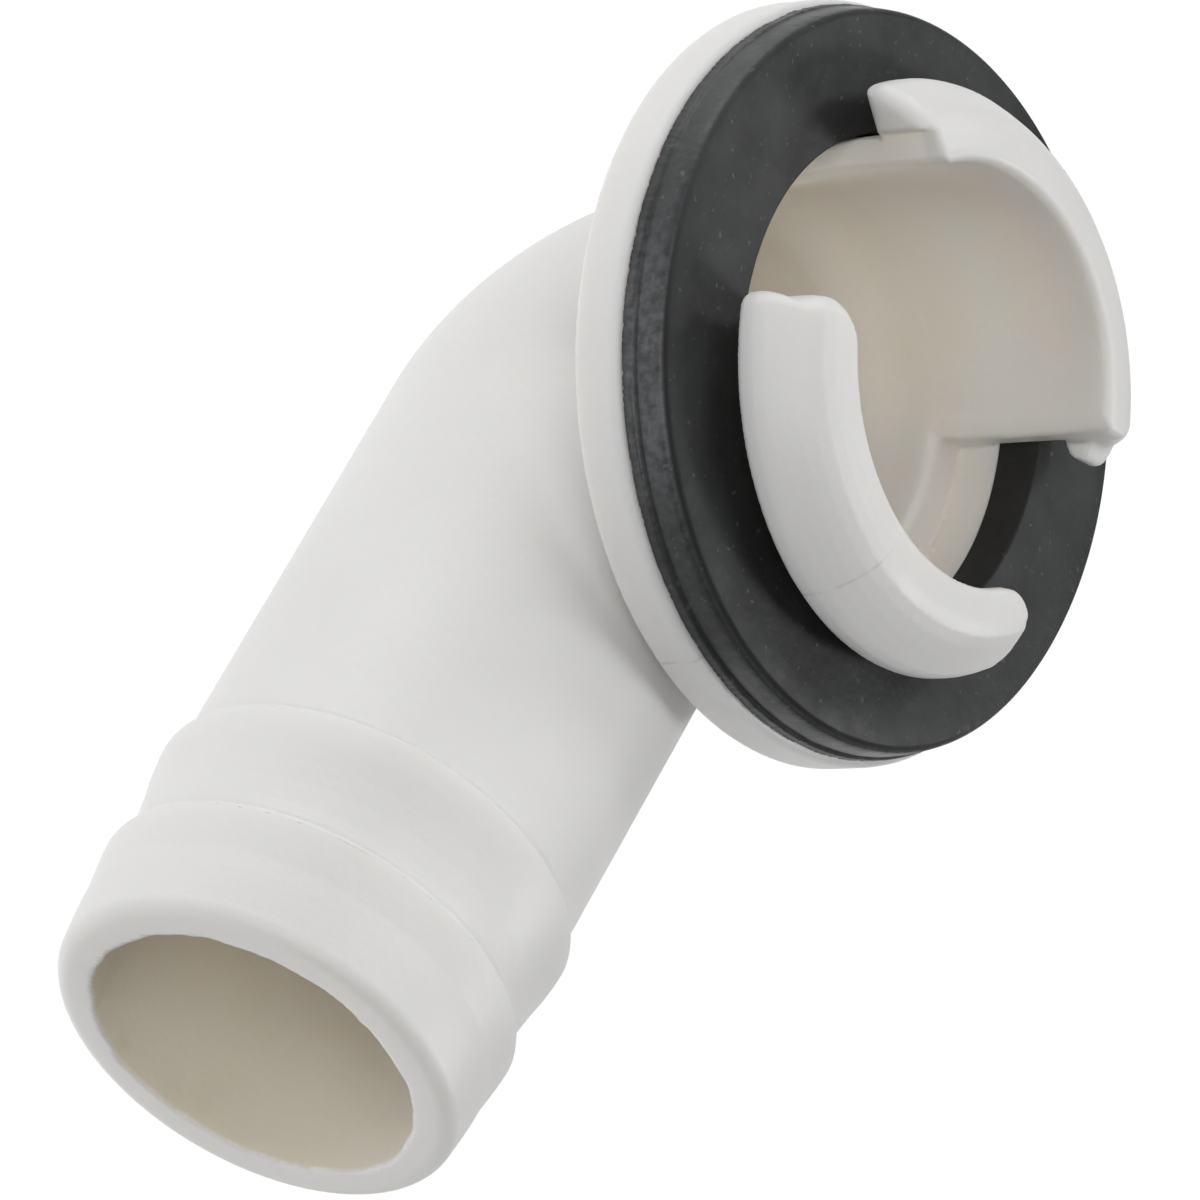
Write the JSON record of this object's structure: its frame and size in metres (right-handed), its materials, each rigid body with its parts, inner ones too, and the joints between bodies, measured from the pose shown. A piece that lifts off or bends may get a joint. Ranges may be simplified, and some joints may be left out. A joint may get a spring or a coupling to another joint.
{
  "type": "condensate drain elbow connector",
  "caption": "Moulded plastic drain elbow with a round flange, snap hooks and a barbed hose spigot, and a loose rubber sealing ring.",
  "frame": {"origin": "centre of the flange's sealing face, where the hooks' axis crosses it", "axes": "+Z along the snap hooks, up into the pan; +X along the hose spigot, toward its open end; the XZ plane is the plane of symmetry"},
  "size_m": [0.0571, 0.0342, 0.0302],
  "materials": {
    "white_plastic": "satin moulded polypropylene",
    "black_rubber": "matt moulded rubber, lightly scuffed"
  },
  "bodies": {
    "elbow": {"elbow_body": "white_plastic"},
    "ring": {"sealing_ring": "black_rubber"}
  },
  "joints": [
    {"name": "ring_float", "type": "slide", "parent": "elbow", "child": "ring", "axis": [0, 0, 1], "range_m": [0, 0.0012]}
  ]
}
